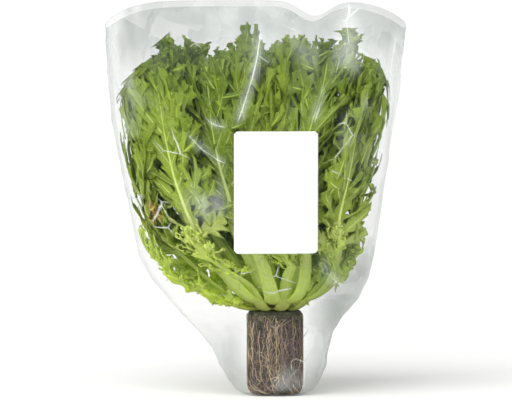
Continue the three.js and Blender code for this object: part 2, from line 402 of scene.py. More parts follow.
# %% Whorls and their ribs
# Sizes are in millimetres. Ribs start on the stem and reach the head's radius or its top.
STEM_CENTRE = 79
STEM_RADIUS = 15
HEAD_RADIUS = 102
HEAD_TOP = 338
OUTER_TOP = 312
GAP = 0.4
WAVE_SHARE = 0.42
WAVE_LIMIT = 9.5

# Name, count, spread, turn, length, size and teeth. The skirt's ribs have a curve of their own.
WHORLS = [
    ("skirt", 8, 1.0, 0.35, 0.92, 0.62, 5),
    ("outer", 11, 1.0, 0.1, 0.97, 1.0, 7),
    ("second", 9, 0.8, 0.42, 0.98, 1.0, 6),
    ("third", 7, 0.6, 0.2, 0.97, 0.95, 5),
    ("fourth", 5, 0.42, 0.6, 0.97, 0.9, 5),
    ("inner", 4, 0.27, 0.05, 0.95, 0.8, 5),
    ("heart", 2, 0.13, 0.3, 0.92, 0.6, 4),
]


def bezier(corners, count=121):
    """Points on a curve that leaves the first corner towards the second and arrives from the third."""
    first, second, third, last = np.array(corners, float)
    share = np.linspace(0, 1, count)[:, None]
    rest = 1 - share
    return rest**3 * first + 3 * share * rest**2 * second + 3 * share**2 * rest * third + share**3 * last


def rib_curve(name, spread):
    """Radius and height along a whorl's ribs. Spread is 0 for an upright leaf and 1 for an outer one."""
    if name == "skirt":
        return bezier([(STEM_RADIUS + GAP, STEM_CENTRE - 2), (45, 73), (74, 84), (95, 150)])
    rise = math.radians(86 * spread)
    leave = math.radians(92 * spread)
    off_stem = STEM_RADIUS + mix(1, GAP, spread)
    root = np.array([math.sin(rise), math.cos(rise)]) * off_stem + (0, STEM_CENTRE)
    away = np.array([math.sin(leave), math.cos(leave)]) * (38 + 4 * spread)
    belly = (mix(5, HEAD_RADIUS, spread), mix(205, 134, spread))
    crown = (mix(7, HEAD_RADIUS, spread), mix(HEAD_TOP, OUTER_TOP, spread))
    return bezier([root, root + away, belly, crown])


class Rib:
    """A whorl's rib curve, which can be read at any distance along it and a little past its end."""

    def __init__(self, points):
        self.points = points
        steps = np.diff(points, axis=0)
        lengths = np.hypot(*steps.T)
        self.reached = np.concatenate([[0], np.cumsum(lengths)])
        self.runs = steps / lengths[:, None]
        self.length = self.reached[-1]

    def at(self, along):
        i = np.clip(np.searchsorted(self.reached, along) - 1, 0, len(self.runs) - 1)
        place = self.points[i] + (along - self.reached[i])[:, None] * self.runs[i]
        run = np.column_stack([np.interp(along, self.reached[:-1], self.runs[:, j]) for j in (0, 1)])
        run /= np.hypot(*run.T)[:, None]
        return place, np.column_stack([run[:, 1], -run[:, 0]])


RIBS = [Rib(rib_curve(whorl[0], whorl[2])) for whorl in WHORLS]


def room_beside(index, place):
    """How far a leaf may wave off its whorl before it would meet the next one."""
    nearest = np.full(len(place), float(HEAD_RADIUS))
    for other in (index - 1, index + 1):
        if 0 <= other < len(RIBS):
            apart = place[:, None, :] - RIBS[other].points[None, :, :]
            nearest = np.minimum(nearest, np.hypot(apart[..., 0], apart[..., 1]).min(axis=1))
    return np.clip(WAVE_SHARE * nearest - 0.5, 0, WAVE_LIMIT)


print("rib lengths in mm", [round(rib.length) for rib in RIBS])

# %% [markdown]
# ## The leaf's place in the head
# A leaf is easier to draw flat: so far along its rib, so far across it, and so far off the sheet. This
# class carries such a point to the head. It follows the whorl's rib, wraps the sheet round the head, tilts
# it so that one side slides under its neighbour, and twists it a little. The head in the picture isn't
# even, so leaves also bulge at the sides, droop at the skirt and end at the crown's outline, which falls
# away at both shoulders. Last, the film presses them in.

# %% From a flat leaf to the head
# The stalk: its bare share of the leaf, and how much more is bare at the front. A list of seven has one
# value for each whorl, from the skirt to the heart.
STALK_SHARES = [0.12, 0.22, 0.18, 0.1, 0.05, 0.04, 0.04]
FRONT_STALK = [0.5, 0.22, 0.3, 0.32, 0.32, 0.3, 0.28]
STALK_HALF_WIDTH = 4.7
TIP_LENGTH = 26

# How a leaf lies on its whorl.
SECTOR_SHARE = 1.15
TILT = 0.55
TWIST = 0.5
TWIST_LIMIT = 12
SWAY = 0.2
FAN = 0.3
LOOSE_FAN = 0.34

# How far the whole head leans left, and its depth as a share of its width.
LEAN = 20
DEPTH_SHARE = 0.8

# The skirt is raised at the front and the right, reaches further at the left, and sags at the stem.
FRONT_RAISE = 22
SIDE_RAISE = (18, 0)
SKIRT_STRETCH = 0.18
SKIRT_GROWTH = 0.35
SKIRT_SAG = 2.2

# Side leaves bulge low down, and leaves at the front and back stand closer in.
SIDE_BULGE = (0.08, 0.14)
BULGE_TOP = 262
CLOSER = 0.34

# The crown: the height at which inner and outer leaves end, how much that varies, and where it falls away.
CROWN_TOPS = (317, 303)
CROWN_VARIES = 24
CROWN_SOFT = 12
UPPER_RISE = 14
LEFT_SHOULDER = -84
LEFT_SLOPE = 0.85
RIGHT_SHOULDER = 79
RIGHT_SLOPE = 2.0

# One leaf near the middle stands above the rest.
TALL_LEAF = ("heart", 1)
TALL_LEAF_PLACE = 1.72 * math.pi
TALL_LEAF_RISE = 54
TALL_LEAF_TOP = 336


class Leaf:
    """One leaf: its rib, its length, its own small differences, and its place in the head."""

    def __init__(self, index, number):
        self.name, count, spread, turn_share, length, self.size, self.teeth = WHORLS[index]
        skirt = index == 0
        tall = (self.name, number) == TALL_LEAF
        self.index = index
        self.rib = RIBS[index]
        self.seed = index * 40 + number + 1
        self.sector = 2 * math.pi / count
        self.azimuth = self.sector * (number + turn_share + 0.1 * (self.chance(0) - 0.5))
        if tall:
            self.azimuth = TALL_LEAF_PLACE

        # How much the leaf faces the picture, stands at a side, and stands at the left one.
        facing = max(0.0, -math.sin(self.azimuth)) ** 2
        beside = math.cos(self.azimuth) ** 2
        self.leftward = (1 - math.cos(self.azimuth)) / 2
        outward = smooth(spread, 0.3, 1.0)
        self.sideways = beside * outward

        self.length = self.rib.length * length * (0.94 + 0.07 * self.chance(0.3)) - TIP_LENGTH
        self.length -= (28 - 24 * self.chance(0.25)) * (0.2 if skirt else 1)
        self.length -= 0 if skirt else mix(12, 4, spread)
        self.twist = TWIST * (2 * self.chance(0.15) - 1)
        self.tone = self.chance(0.5)
        self.fan = -FAN * outward * math.sin(2 * self.azimuth) + LOOSE_FAN * (self.chance(0.45) - 0.5)

        # Leaves at the front are bare further up, so that their stalks show below the label.
        bare = facing if skirt else smooth(-math.sin(self.azimuth), -0.2 if index == 1 else -0.7, 0.8)
        self.stalk_share = STALK_SHARES[index] + FRONT_STALK[index] * bare
        self.stalk_width = STALK_HALF_WIDTH * mix(0.85, 1.25, self.chance(0.65))
        self.stalk_width *= 1 if skirt else 1 + 0.4 * bare
        self.size *= 1 - 0.45 * facing if skirt else 1.12
        self.size *= 1 + SKIRT_GROWTH * self.leftward**2 if skirt else 1

        self.closer = 0.0 if skirt else CLOSER * self.chance(0.6) * math.sin(self.azimuth) ** 2
        self.bulge = mix(*SIDE_BULGE, self.leftward) * beside
        self.stretch = SKIRT_STRETCH * self.leftward**2 if skirt else 0.0
        self.sag = SKIRT_SAG if skirt else 0.0
        self.raise_foot = FRONT_RAISE * facing + mix(*SIDE_RAISE, self.leftward) * beside if skirt else 0.0
        self.top = mix(*CROWN_TOPS, spread) + CROWN_VARIES * (self.chance(0.75) - 0.5)
        self.rise = UPPER_RISE * self.chance(0.35)
        if tall:
            self.top = TALL_LEAF_TOP
            self.rise = TALL_LEAF_RISE

    def chance(self, key):
        """A repeatable number from 0 to 1 for this leaf and this use."""
        return draw(self.seed + key)

    def carry(self, along, across, lift, clearance=9.0):
        """Points in the head, as rows of x, y and z, for places on the flat leaf."""
        shape = along.shape
        place, out = self.rib.at(along.ravel())
        reach, z, outward, upward = (column.reshape(shape) for column in (*place.T, *out.T))
        half_sector = SECTOR_SHARE * self.sector
        turn = half_sector * np.tanh(across / np.maximum(reach, 3) / half_sector)
        share = np.clip((along / self.length - self.stalk_share) / (1 - self.stalk_share), 0, 1)
        fade = smooth(share, 0, 0.3)
        room = room_beside(self.index, place).reshape(shape)
        tilt = room * np.clip(TILT * fade * turn / half_sector, -1, 1)
        twist = np.clip(self.twist * smooth(share, 0.1, 0.9) * across, -TWIST_LIMIT, TWIST_LIMIT)
        off = lift + tilt + twist

        # Out from the middle: closer in or bulging with height, and stretched far out.
        closer = self.closer * np.sin(math.pi * smooth(z, STEM_CENTRE, HEAD_TOP))
        reach = (reach + off * outward) * (1 - closer)
        reach = reach * (1 + self.bulge * np.sin(math.pi * smooth(z, STEM_CENTRE, BULGE_TOP)))
        reach = reach * (1 + self.stretch * smooth(reach, 25, 75))

        # Up: the foot raised, the stalk sagging near the stem, and the upper part drawn upwards.
        z = z + off * upward + self.raise_foot * smooth(reach, STEM_RADIUS + 2, 48)
        z = z - self.sag * (1 - smooth(reach, 22, 55)) + self.rise * smooth(z, 180, 300)

        # Round the head, which leans left with height and is flatter from front to back.
        sway = SWAY * self.sector * np.sin(2.4 * share + 5 * self.chance(0.9)) * fade
        angle = self.azimuth + turn + sway + self.fan * smooth(z, STEM_CENTRE, HEAD_TOP)
        lean = -LEAN * smooth(z, STEM_CENTRE, 170)
        depth = mix(1, DEPTH_SHARE, smooth(z, STEM_CENTRE, 120))
        x = reach * np.cos(angle) + lean

        # Under the crown's outline.
        fall = LEFT_SLOPE * np.clip(LEFT_SHOULDER - x, 0, None)
        fall += RIGHT_SLOPE * np.clip(x - RIGHT_SHOULDER, 0, None)
        knee = self.top - CROWN_SOFT - fall
        z = np.where(z > knee, knee + CROWN_SOFT * np.tanh((z - knee) / CROWN_SOFT), z)
        points = np.stack([x, reach * np.sin(angle) * depth, z], axis=-1)
        return held_in(points.reshape(-1, 3), clearance)


# %% [markdown]
# ## Stalk and blade
# The middle of a leaf is one grid: a pale stalk, then a narrow blade along both sides of the rib. Its rows
# are side veins that fan forward, and the edge is where the veins stop: far out at a tooth, close in at a
# gap. Straight lines would give a paper star, so the edge hugs the gap and then rises quickly, which makes
# hollow gaps and thin points.

# %% The blade's rows
ROWS_PER_STEP = 6
STALK_ROWS = 12
TIP_ROWS = 8
COLUMNS = 12
TIP_HALF_WIDTH = 0.39
SINUS_SHARE = 0.5
HOLLOW = 1.5
SMALL_TEETH = 0.14
BLADE_SHARE = 0.56

# How far the side veins reach, read from the foot of a leaf to its tip, and their angles at both ends.
REACH = [8, 22, 38, 52, 60, 54, 26]
VEIN_ANGLES = (62, 15)


def toothed(progress, seed, side):
    """The share of its full reach at which the edge stands. Progress counts the gaps and teeth passed."""
    steps = int(progress[-1]) + 1
    at_step = []
    for step in range(steps):
        uneven = 0.18 * (draw(seed + step) - 0.5) + 0.1 * (draw(seed * 3 + step + 17 * side) - 0.5)
        at_step.append((1 if step % 2 else SINUS_SHARE) + uneven)
    at_step = np.array(at_step + [at_step[-1]])
    step = np.floor(progress).astype(int)
    part = progress - step
    rising = part**HOLLOW
    falling = 1 - (1 - part) ** HOLLOW
    eased = np.where(step % 2 == 0, rising, falling)
    edge = mix(at_step[step], at_step[step + 1], eased)
    small = np.abs(((2.5 * progress + draw(seed + side)) % 1) - 0.5) * 2
    return edge + SMALL_TEETH * (small**2 - 0.35)


def blade_rows(leaf, side):
    """For each row: its start along the rib, its direction, the edge's and the full reach, its progress."""
    steps = 2 * leaf.teeth
    progress = np.linspace(0, steps - 1, (steps - 1) * ROWS_PER_STEP + 1)
    share = progress / (steps - 0.4)
    full = np.maximum(leaf.stalk_width, BLADE_SHARE * leaf.size * table(REACH, share))
    edge = np.maximum(leaf.stalk_width * mix(1, 0.5, share), full * toothed(progress, leaf.seed, side))
    along = mix(leaf.stalk_share, 1, share) * leaf.length
    angle = np.radians(mix(*VEIN_ANGLES, share))
    blade = np.column_stack([along, np.cos(angle), np.sin(angle), edge, full, progress])
    start = np.linspace(0, 1, STALK_ROWS, endpoint=False)
    ones = np.ones(STALK_ROWS)
    width = leaf.stalk_width * (1 + 0.5 * (1 - start) ** 3)
    up_stalk = start * leaf.stalk_share * leaf.length
    stalk = np.column_stack([up_stalk, 0 * ones, ones, width, width, start - 1])
    up = np.linspace(0, 1, TIP_ROWS + 1)[1:]
    last = blade[-1]
    tip = np.column_stack([
        mix(last[0], leaf.length + TIP_LENGTH * leaf.size, up),
        mix(last[1], 0, up),
        mix(last[2], 1, up),
        mix(last[3], TIP_HALF_WIDTH, up**0.7),
        mix(last[4], TIP_HALF_WIDTH, up**0.7),
        last[5] + up,
    ])
    return np.vstack([stalk, blade, tip])


# %% [markdown]
# Each sheet is worked out as a small table of points with what its material needs to know: how far a point
# is from the rib, which vein it is on, how near the edge it is, the leaf's tone, how far up the leaf it
# stands, and its thickness.

# %% The blade's sheet
# The rib at a leaf's foot and at its tip, and the blade beside it.
RIB_THICKNESS = (3.2, 0.9)
RIB_HALF_WIDTH = (4.8, 1.0)
BLADE_THICKNESS = 0.55


def sheet(points, from_rib, vein, edge, tone, grown, whorl, thickness):
    """One grid of a leaf with the notes on its points, all as flat rows."""
    shape = from_rib.shape
    where = np.stack([from_rib, np.broadcast_to(vein, shape), edge], axis=-1)
    kind = np.stack([np.full(shape, tone), np.broadcast_to(grown, shape), np.full(shape, whorl)], axis=-1)
    thick = np.clip(thickness / RIB_THICKNESS[0], 0, 1)
    return points, where.reshape(-1, 3), kind.reshape(-1, 3), thick.ravel()


def blade_sheet(leaf):
    """The sheet of a leaf's stalk, blade and tip, and how many rows and columns it has."""
    sides = [blade_rows(leaf, side) for side in (0, 1)]
    even = np.linspace(-1, 1, COLUMNS + 1)
    flank = np.sign(even) * np.abs(even) ** 1.5
    side = np.broadcast_to(np.abs(flank)[None, :], (len(sides[0]), len(flank)))
    rows = [np.where(flank[None, :] < 0, sides[0][:, [i]], sides[1][:, [i]]) for i in range(6)]
    along0, forward, outward, edge, full, progress = rows
    distance = edge * side + 0.5 * side * (1 - side) * (full - edge)
    along = along0 + distance * forward
    across = np.sign(flank)[None, :] * distance * outward
    share = np.clip(progress / sides[0][-1, 5], 0, 1)
    fade = smooth(share, 0, 0.3)
    beat = progress * 1.35 * math.pi + 3 * leaf.seed + 1.2 * np.sign(flank)[None, :]
    waves = 4.5 * np.sin(progress * math.pi / 2 + leaf.seed) + 2.2 * side * np.sin(1.37 * beat)
    grown = np.clip(along0 / leaf.length, 0, 1)
    from_rib = distance / mix(*RIB_HALF_WIDTH, grown)
    points = leaf.carry(along, across, waves * side**2 * fade)
    vein = np.clip(1 - np.abs((progress / 2) % 1 - 0.5) / 0.07, 0, 1) * fade * (1 - 0.6 * side)
    stiff = np.clip(1 - from_rib**2, 0, 1) ** 0.5 * mix(*RIB_THICKNESS, grown) + 0.5 * vein
    thickness = BLADE_THICKNESS + stiff
    made = sheet(points, from_rib, progress / 2, side * 0.5, leaf.tone, share, leaf.index / 6, thickness)
    return made, side.shape


# %% [markdown]
# ## Fingers
# The frill of this salad is in its fingers: each leaf is cut deep into narrow pointed lobes that fork,
# twist and curl by themselves. A single sheet can't fold like that, so every finger is a strip of its own
# that starts at the rib. It bends forward, its sides carry a few sharp teeth, and it may turn on its own
# middle until its edge faces outwards.

# %% One finger
FINGER_ROWS = 10
FINGER_COLUMNS = 6
FORK_ROWS = 6
FORK_COLUMNS = 4
FINGERS_A_SIDE = [7, 9, 8, 6, 5, 5, 4]

# A finger's width from its foot to its tip, and how long fingers are from a leaf's foot to its tip.
FINGER_OUTLINE = [0.5, 0.78, 1.0, 0.92, 0.78, 0.55, 0.06]
FINGER_REACH = [36, 46, 52, 55, 54, 48, 36]
FINGER_ANGLES = (68, 34)
TIP_FINGERS = [(0.97, -1, 32), (0.97, 1, 36), (1.0, -1, 10), (1.0, 1, 14)]
NARROW = 3.0
BROAD = 6.4
OUTER_BROAD = 8.4
FINGER_TEETH = 1.5
POINTED = 0.95
RUFFLE = 2.7
FORK_PLACES = (0.42, 0.68)
FORK_WIDTH = 0.62

# How near the film a finger may come. Each has its own limit, so the head's outline is ragged.
FILM_CLEARANCE = 2.4
CLEARANCE_VARIES = 13


def finger(leaf, rows, columns, start, aim, length, half_width, base_lift, key, grown):
    """A pointed strip on the flat leaf. Gives its sheet, and its middle line for forks to start from."""
    chance = [leaf.chance(key + 0.37 * i) for i in range(9)]
    up = np.linspace(0, 1, rows + 1)
    bend = -np.sign(aim) * (0.15 + 0.65 * chance[0]) + 0.5 * (chance[1] - 0.5)
    heading = aim + bend * up
    run = np.column_stack([np.cos(heading), np.sin(heading)])
    steps = (run[1:] + run[:-1]) / 2 * length / rows
    centre = np.array(start) + np.vstack([[0, 0], np.cumsum(steps, axis=0)])
    beside = np.column_stack([-run[:, 1], run[:, 0]])
    flank = np.linspace(-1, 1, columns + 1)[None, :]
    side = np.abs(flank)
    teeth = np.where(flank < 0, (2.9 * up[:, None] + chance[2]) % 1, (3.4 * up[:, None] + chance[3]) % 1)
    wide = half_width * table(FINGER_OUTLINE, up)[:, None] * (0.5 + FINGER_TEETH * teeth**1.9 * side)
    reach = wide * side
    turned = (1.6 * (chance[4] - 0.5) + 1.5 * (chance[5] - 0.5) * up)[:, None]
    flat = centre[:, None, :] + (np.sign(flank) * reach * np.cos(turned))[..., None] * beside[:, None, :]
    flat = flat + (POINTED * reach * side)[..., None] * run[:, None, :]

    # A finger slopes in or out of the sheet: in at the skirt, and mostly out at the sides of the head.
    bias = mix(0.42, 0.05, leaf.sideways) if leaf.index else mix(1.0, 0.5, leaf.leftward)
    steep = mix(0.42, 0.6, leaf.sideways)
    slope = (steep * (chance[6] - bias) * length * up + 0.5 * (chance[7] - 0.5) * length * up**3)[:, None]
    ruffle = RUFFLE * side**2 * np.sin(2 * math.pi * (2.1 * up[:, None] + 0.5 * np.sign(flank) + chance[8]))
    lift = base_lift + slope + np.sign(flank) * reach * np.sin(turned) + ruffle * smooth(up, 0, 0.3)[:, None]
    clearance = FILM_CLEARANCE + CLEARANCE_VARIES * leaf.chance(key + 0.66)
    points = leaf.carry(flat[..., 0], flat[..., 1], lift, clearance)
    from_rib = 0.62 + 0.55 * reach + 0.5 * up[:, None] ** 2 + 0 * flank
    edge = 0.3 + 0.55 * up[:, None] + 0.15 * side
    tone = np.clip(0.65 * leaf.tone + 0.5 * chance[0] - 0.05, 0, 1)
    thickness = BLADE_THICKNESS + 0.5 * np.clip(1 - reach / 1.2, 0, 1) * (1 - up[:, None])
    grown = np.clip(grown + 0.15 * up[:, None], 0, 1)
    made = sheet(points, from_rib, 0.0, edge, tone, grown, leaf.index / 6, thickness)
    return made, centre, heading, lift.mean(axis=1)


def all_fingers(leaf):
    """The fingers of one leaf and the forks on them, as two lists of sheets."""
    fingers, forks = [], []
    count = FINGERS_A_SIDE[leaf.index]
    places = [(j + 0.35) / count for j in range(count)]
    starts = [(share, side, mix(*FINGER_ANGLES, share)) for share in places for side in (-1, 1)]
    broadest = OUTER_BROAD if leaf.index in (1, 2) else BROAD
    for number, (share, side, angle) in enumerate(starts + TIP_FINGERS):
        key = 3.1 + 1.7 * number
        share = share + 0.05 * (leaf.chance(key + 0.5) - 0.5)
        aim = side * math.radians(angle + 22 * (leaf.chance(key + 0.9) - 0.5))
        length = leaf.size * table(FINGER_REACH, share) * (0.8 + 0.42 * leaf.chance(key + 0.2))
        half_width = leaf.size * mix(NARROW, broadest, leaf.chance(key + 0.7) ** 1.4)
        off_rib = 0.6 * side * mix(*RIB_HALF_WIDTH, share)
        start = (mix(leaf.stalk_share, 1, share) * leaf.length, off_rib)
        base = 1.5 * side * (-1) ** number
        made, centre, heading, lift = finger(
            leaf, FINGER_ROWS, FINGER_COLUMNS, start, aim, length, half_width, base, key, share)
        fingers.append(made)
        for fork, at in enumerate(FORK_PLACES):
            row = int(at * FINGER_ROWS)
            way = side * (1 if fork == number % 2 else -1)
            turn = heading[row] + way * (0.45 + 0.65 * leaf.chance(key + fork + 0.4))
            part = length * (0.3 + 0.25 * leaf.chance(key + fork + 0.8))
            made, *_ = finger(
                leaf, FORK_ROWS, FORK_COLUMNS, centre[row], turn, part, FORK_WIDTH * half_width,
                lift[row], key + 0.13 + fork, min(share + 0.1, 1))
            forks.append(made)
    return fingers, forks


# %% [markdown]
# ## What a leaf looks like
# A young leaf is pale where the light doesn't reach, low down and along its ribs, and a fuller green
# towards its teeth. The material reads how far each point is from the rib, which vein it is on and how high
# it stands. Light comes through a leaf as well as off it, so a share of translucent shaders is mixed in.
# Their colours are plain ones, and what varies over the leaf is only how they are mixed.

# %% The leaf's material
BURNT_PLACE = (-0.108, 0.156)
PALE_GREEN = "#E9F58C"
SHADE_GREEN = "#4F6A1C"


def leaf_finish():
    finish = Finish("leaf_green")
    from_rib, vein_row, side = finish.three("where")
    tone, share, whorl = finish.three("kind")
    height = finish.height()
    slow = finish.noise(22, 2)
    fine = finish.noise(260, 4)

    # Pale low down, fuller higher up, fresher in patches and darker towards the teeth of the upper leaves.
    up = (height + 0.05 * (slow - 0.5)).step(0.105, 0.18) * whorl.step(0.0, 0.15)
    green = finish.blend(up, PALE_GREEN, "#789026")
    fresh = (tone + 0.7 * (slow - 0.5)).step(0.35, 0.9) * height.step(0.1, 0.16)
    green = finish.blend(0.85 * fresh, green, "#93AB2C")
    dark = (share * 0.6 + 0.5 * (0.5 - tone) + 0.5 * (slow - 0.5)).step(0.3, 0.85) * height.step(0.15, 0.27)
    dark = dark * (1 - 0.45 * side.step(0.45, 0.95))
    shade = (dark * 0.72 + 0.35 * (0.5 - fine)).step(0.05, 1.0)
    green = finish.blend(shade, green, SHADE_GREEN)

    # Side veins and the net between them.
    veins = 1 - (vein_row.part() - 0.5).size().step(0.015, 0.07)
    veins = veins * share.step(0.02, 0.12) * (1 - 0.7 * side)
    net = 1 - finish.cells(150).step(0.0, 0.09)
    pale = (0.75 * veins).top(0.3 * net * (1 - 0.5 * side))
    green = finish.blend(pale * (1.0 - 0.35 * height.step(0.2, 0.31)), green, "#CBDA86")

    # One burnt edge on the left.
    x, y, _ = finish.split(finish.place())
    off_x, off_z = x - BURNT_PLACE[0], height - BURNT_PLACE[1]
    burnt = (1 - (off_x * off_x + off_z * off_z).step(0.00002, 0.00022)) * (0 - y).step(0.0, 0.02)
    green = finish.blend(burnt * (side + slow - 0.5).step(0.2, 0.6), green, "#B98A42")

    # The rib and the stalk, grooved and fibrous, and brownish where they leave the stem.
    rib = 1 - from_rib.step(0.55, 1.15)
    stalk = finish.blend(height.step(0.10, 0.26), "#F6FDB0", "#CDE268")
    groove = (from_rib * 1.9 + 0.25 * slow).part().step(0.55, 0.85) * (1 - share.step(0.0, 0.1))
    stalk = finish.blend(0.45 * groove, stalk, "#9DB448")
    fibres = finish.noise(700, 2, finish.stretched((1, 1, 0.08)))
    stalk = finish.blend(0.3 * fibres, stalk, "#A3B855")
    base = (1 - height.step(0.077, 0.088)) * (0.5 + slow)
    stalk = finish.blend(0.75 * base, stalk, "#C9B98A")
    colour = finish.blend(rib.top(0.8 * (1 - share.step(0.0, 0.16))), green, stalk)

    # The surface, and the light through it.
    relief = 0.6 * fine + 0.5 * net + 0.4 * finish.noise(90, 3)
    normal = finish.bump(relief, 0.5, 0.0009)
    rough = 0.34 + 0.22 * fine
    shine = {"Base Color": colour, "Roughness": rough, "Normal": normal, "Specular IOR Level": 0.3}
    body = finish.surface(shine)
    glow = finish.glow(PALE_GREEN, normal)
    glow = finish.mixed(up, glow, finish.glow("#7F972B", normal))
    glow = finish.mixed(shade, glow, finish.glow(SHADE_GREEN, normal))
    glow = finish.mixed(rib, glow, finish.glow("#E4F08C", normal))
    through = 0.3 + 0.4 * (1 - height.step(0.1, 0.17))
    return finish.done(finish.mixed(through, body, glow))


LEAF_GREEN = leaf_finish()

# %% [markdown]
# ## All the leaves
# A leaf's blade is one grid primitive. Its fingers are a second one: a tall grid whose rows are shared out
# among them, with the edges between one finger and the next deleted. The forks are a third. The three are
# joined, and a vertex group gives the thickness: full at the rib, thin at the edge, with a slight swelling
# along each vein.

# %% Making the leaves
THICKNESS_LEVELS = 20


def dress_sheets(name, sheets, columns, rows):
    """A grid primitive cut into as many strips as there are sheets, and laid on them."""
    each = rows + 1
    piece, column, row = grid_piece(name, columns, len(sheets) * each - 1)
    order = row * (columns + 1) + column
    points, where, kind, thick = (np.concatenate(parts)[order] for parts in zip(*sheets))
    lay(piece, points)
    note(piece, "where", where)
    note(piece, "kind", kind)
    group = piece.vertex_groups.new(name="thickness")
    levels = np.rint(thick * THICKNESS_LEVELS).astype(int)
    for level in np.unique(levels):
        group.add(np.nonzero(levels == level)[0].tolist(), level / THICKNESS_LEVELS, "REPLACE")
    if len(sheets) > 1:
        strip = row // each
        ends = np.empty(len(piece.data.edges) * 2, int)
        piece.data.edges.foreach_get("vertices", ends)
        ends = strip[ends.reshape(-1, 2)]
        choose(piece, "EDGE", ends[:, 0] != ends[:, 1])
        bpy.ops.mesh.delete(type="EDGE")
        bpy.ops.object.mode_set(mode="OBJECT")
    return piece


def make_leaf(index, number):
    """Makes one leaf and says how many triangles it has, of which a four-sided face has two."""
    leaf = Leaf(index, number)
    blade, shape = blade_sheet(leaf)
    fingers, forks = all_fingers(leaf)
    piece = dress_sheets(f"{leaf.name}_leaf_{number + 1}", [blade], shape[1] - 1, shape[0] - 1)
    finger_strips = dress_sheets("fingers", fingers, FINGER_COLUMNS, FINGER_ROWS)
    fork_strips = dress_sheets("forks", forks, FORK_COLUMNS, FORK_ROWS)
    pick(piece, finger_strips, fork_strips)
    bpy.ops.object.join()
    thicken(piece, RIB_THICKNESS[0], "thickness")
    settle(piece, LEAF_GREEN, "leaf", f"leaf_{leaf.name}_{number + 1}")
    return 2 * len(piece.data.polygons)


leaf_faces = []
for index, whorl in enumerate(WHORLS):
    leaf_faces += [make_leaf(index, number) for number in range(whorl[1])]
print("leaves", len(leaf_faces), "triangles", sum(leaf_faces))

# %% [markdown]
# ## The stem
# The stem is a short knob, scarred where old leaves were broken off. It starts as a sphere, is stretched
# and moved in edit mode to fill the plain stem's box, and a displacement roughens it.

# %% The stem


def stem_finish():
    finish = Finish("stem_flesh")
    height = finish.height()
    grain = finish.noise(180, 4, finish.stretched((1, 1, 0.3)))
    colour = finish.blend(height.step(0.073, 0.09), "#B79B6C", "#CBD69A")
    colour = finish.blend((0.8 * grain).step(0.25, 0.6), colour, "#8D7148")
    normal = finish.bump(grain, 0.6, 0.001)
    return finish.matt(colour, 0.45 + 0.2 * grain, normal)


def make_stem():
    low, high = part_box("stem")
    middle = (low + high) / 2
    deselect()
    bpy.ops.mesh.primitive_uv_sphere_add(segments=64, ring_count=40, radius=1, location=(0, 0, 0))
    piece = bpy.context.object
    piece.name = "stem_knob"
    bpy.ops.object.mode_set(mode="EDIT")
    half = (high - low) / 2
    bpy.ops.transform.resize(value=tuple(half))
    bpy.ops.transform.translate(value=tuple(middle))
    bpy.ops.object.mode_set(mode="OBJECT")
    cloud = bpy.data.textures.new("stem_scars", "CLOUDS")
    cloud.noise_scale = 0.006
    rough = piece.modifiers.new("scars", "DISPLACE")
    rough.texture = cloud
    rough.strength = 0.0022
    rough.mid_level = 0.85
    rough.texture_coords = "LOCAL"
    bpy.ops.object.modifier_apply(modifier=rough.name)
    settle(piece, stem_finish(), "stem", "stem")
    print("stem", len(piece.data.polygons), "faces")


make_stem()

# %% [markdown]
# ## The plug
# The plug is a block of peat with rounded corners, and roots have wrapped it. A rounded square drawn by a
# power of sine and cosine gives its outline, and each height has its own share of the width, so it tucks in
# at the foot.

# %% The plug's outline
PLUG_HALF_WIDTH = 23.5
ROOT_TOP = 58
FOOT = 1.3
PLUG_TOP = 72.5
LUMP_WAVES = 14

# Height, and the share of the full width there.
PROFILE = np.array([
    (1.3, 0.76), (2.6, 0.88), (5.5, 0.95), (10, 0.99), (26, 1.0),
    (58, 0.99), (69, 1.0), (71.5, 0.95), (72.5, 0.87),
])


def plug_point(angle, z, off=0.0):
    """A point of the plug's side, at an angle and height, standing off it by a little."""
    angle = np.asarray(angle, float)
    wide = (PLUG_HALF_WIDTH + off) * np.interp(z, PROFILE[:, 0], PROFILE[:, 1])
    cosine, sine = np.cos(angle), np.sin(angle)
    x = wide * np.sign(cosine) * np.sqrt(np.abs(cosine))
    y = wide * np.sign(sine) * np.sqrt(np.abs(sine))
    return np.stack([x, y, np.broadcast_to(z, x.shape)], axis=-1)


def plug_block(name, low, high, around, levels, lumps, seed):
    """A closed block of the plug's outline between two heights, with lumps on its sides."""
    deselect()
    bpy.ops.mesh.primitive_cylinder_add(vertices=around, radius=1, depth=1, end_fill_type="TRIFAN")
    piece = bpy.context.object
    piece.name = name
    heights = [[piece.data.vertices[i].co.z for i in edge.vertices] for edge in piece.data.edges]
    choose(piece, "EDGE", np.ptp(heights, axis=1) > 0.5)
    bpy.ops.mesh.subdivide(number_cuts=levels)
    bpy.ops.object.mode_set(mode="OBJECT")
    points = np.array([v.co[:] for v in piece.data.vertices])
    z = mix(low, high, points[:, 2] + 0.5)
    angle = np.arctan2(points[:, 1], points[:, 0])
    rng = np.random.default_rng(seed)
    phases = rng.uniform(0, 2 * math.pi, (LUMP_WAVES, 2))[:, 0]
    relief = np.zeros(len(points))
    for i, phase in enumerate(phases):
        relief += np.sin((3 + 2 * i) * angle + z * (0.15 + 0.09 * i) + phase) / (1.5 + 0.35 * i)
    placed = plug_point(angle, z, lumps * relief)
    at_axis = np.hypot(points[:, 0], points[:, 1]) < 0.5
    placed[at_axis, :2] = 0
    lay(piece, placed)
    return piece


# %% [markdown]
# ## Peat
# Wet peat is almost black, with flecks of bark.

# %% Peat


